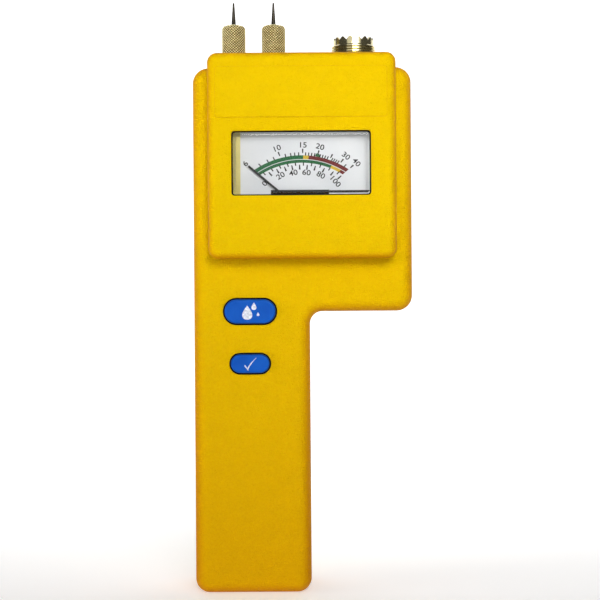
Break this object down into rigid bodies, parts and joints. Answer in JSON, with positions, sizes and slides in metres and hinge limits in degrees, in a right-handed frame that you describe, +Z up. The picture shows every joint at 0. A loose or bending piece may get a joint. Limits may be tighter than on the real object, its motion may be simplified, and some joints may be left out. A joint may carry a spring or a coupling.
{
  "type": "moisture meter",
  "caption": "Hand-held pin moisture meter: L-shaped yellow case, needle dial behind a clear window, push buttons, needle electrodes and a threaded probe socket.",
  "frame": {"origin": "centre of the handle's flat bottom face", "axes": "+Z up the handle towards the needles, -Y the way the dial faces, +X to the right as the dial is read"},
  "size_m": [0.077, 0.0419, 0.2103],
  "materials": {
    "case_yellow": "fine spark-eroded matt",
    "screw_steel": "zinc plated",
    "label_silver": "satin, blank",
    "black_rubber": "matt",
    "clear_window": "polished clear plastic",
    "dial_white": "satin white print",
    "black_plastic": "moulded",
    "soft_iron": "turned",
    "magnet_grey": "ground",
    "plain_brass": "machined",
    "coil_copper": "wound wire",
    "pointer_black": "satin",
    "bridge_black": "satin",
    "button_blue": "satin",
    "board_green": "solder resist",
    "chip_black": "moulded",
    "resistor_tan": "lacquered",
    "capacitor_sleeve": "shrink sleeve",
    "trimmer_blue": "moulded",
    "needle_steel": "hardened, dark",
    "knurled_brass": "diamond knurl",
    "socket_nickel": "nickel on brass",
    "battery_jacket": "printed jacket, plain",
    "lead_red": "insulated wire",
    "lead_black": "insulated wire",
    "lead_white": "insulated wire",
    "lead_yellow": "insulated wire",
    "lead_grey": "insulated wire"
  },
  "bodies": {
    "case": {"front_case": "case_yellow", "rear_case": "case_yellow", "dial_surround": "case_yellow", "case_screws": "screw_steel", "rating_label": "label_silver", "window_gasket": "black_rubber", "meter_cover": "clear_window", "dial_plate": "dial_white", "meter_frame": "black_plastic", "meter_yoke": "soft_iron", "core_magnet": "magnet_grey", "magnet_spacers": "plain_brass", "front_bridge": "bridge_black", "rear_bridge": "plain_brass", "jewel_screws": "plain_brass", "hairsprings": "plain_brass", "meter_terminals": "plain_brass", "meter_screws": "screw_steel", "read_bezel": "black_rubber", "read_switch": "black_plastic", "read_spring": "screw_steel", "check_bezel": "black_rubber", "check_switch": "black_plastic", "check_spring": "screw_steel", "circuit_board": "board_green", "board_screws": "screw_steel", "amplifier_chip": "chip_black", "resistors": "resistor_tan", "capacitors": "capacitor_sleeve", "trimmer_case": "trimmer_blue", "left_post": "plain_brass", "right_post": "plain_brass", "post_nuts": "screw_steel", "solder_tags": "socket_nickel", "probe_socket": "socket_nickel", "socket_ring": "socket_nickel", "socket_insulator": "black_plastic", "socket_contacts": "plain_brass", "socket_screws": "screw_steel", "battery": "battery_jacket", "battery_studs": "socket_nickel", "battery_snap": "black_plastic", "battery_lead_red": "lead_red", "battery_lead_black": "lead_black", "meter_leads": "lead_white", "electrode_leads": "lead_yellow", "probe_leads": "lead_grey"},
    "read_key": {"read_button": "button_blue", "read_plunger": "black_plastic"},
    "check_key": {"check_button": "button_blue", "check_plunger": "black_plastic"},
    "movement": {"pointer": "pointer_black", "moving_coil": "coil_copper", "pivot_staffs": "screw_steel"},
    "left_electrode": {"left_needle": "needle_steel"},
    "left_cap": {"left_retainer": "knurled_brass"},
    "right_electrode": {"right_needle": "needle_steel"},
    "right_cap": {"right_retainer": "knurled_brass"},
    "door": {"battery_door": "case_yellow"},
    "trimmer": {"trimmer_rotor": "plain_brass"}
  },
  "joints": [
    {"name": "read_press", "type": "slide", "parent": "case", "child": "read_key", "axis": [0, 1, 0], "range_m": [0, 0.001], "stiffness_N_per_m": 1000, "springref_m": -0.001, "deforming": ["read_spring"]},
    {"name": "check_press", "type": "slide", "parent": "case", "child": "check_key", "axis": [0, 1, 0], "range_m": [0, 0.001], "stiffness_N_per_m": 1000, "springref_m": -0.001, "deforming": ["check_spring"]},
    {"name": "pointer_swing", "type": "hinge", "parent": "case", "child": "movement", "pos_m": [0.01784, -0.01, 0.134], "axis": [0, 1, 0], "range_deg": [0, 98.6], "stiffness_Nm_per_rad": 0.0001, "springref_deg": -28.65, "deforming": ["hairsprings"]},
    {"name": "left_needle_lift", "type": "slide", "parent": "case", "child": "left_electrode", "axis": [0, 0, 1], "range_m": [0, 0.0064]},
    {"name": "left_cap_turn", "type": "hinge", "parent": "left_electrode", "child": "left_cap", "pos_m": [-0.0063, -0.002, 0.195], "axis": [0, 0, 1], "range_deg": [0, 2880]},
    {"name": "right_needle_lift", "type": "slide", "parent": "case", "child": "right_electrode", "axis": [0, 0, 1], "range_m": [0, 0.0064]},
    {"name": "right_cap_turn", "type": "hinge", "parent": "right_electrode", "child": "right_cap", "pos_m": [0.00805, -0.002, 0.195], "axis": [0, 0, 1], "range_deg": [0, 2880]},
    {"name": "door_slide", "type": "slide", "parent": "case", "child": "door", "axis": [0, 0, -1], "range_m": [0, 0.058]},
    {"name": "trimmer_turn", "type": "hinge", "parent": "case", "child": "trimmer", "pos_m": [-0.005, -0.001, 0.0805], "axis": [0, 1, 0], "range_deg": [-135, 135]}
  ],
  "couplings": [
    {"joint": "left_cap_turn", "follows": "left_needle_lift", "rad_per_m": 7854},
    {"joint": "right_cap_turn", "follows": "right_needle_lift", "rad_per_m": 7854}
  ]
}
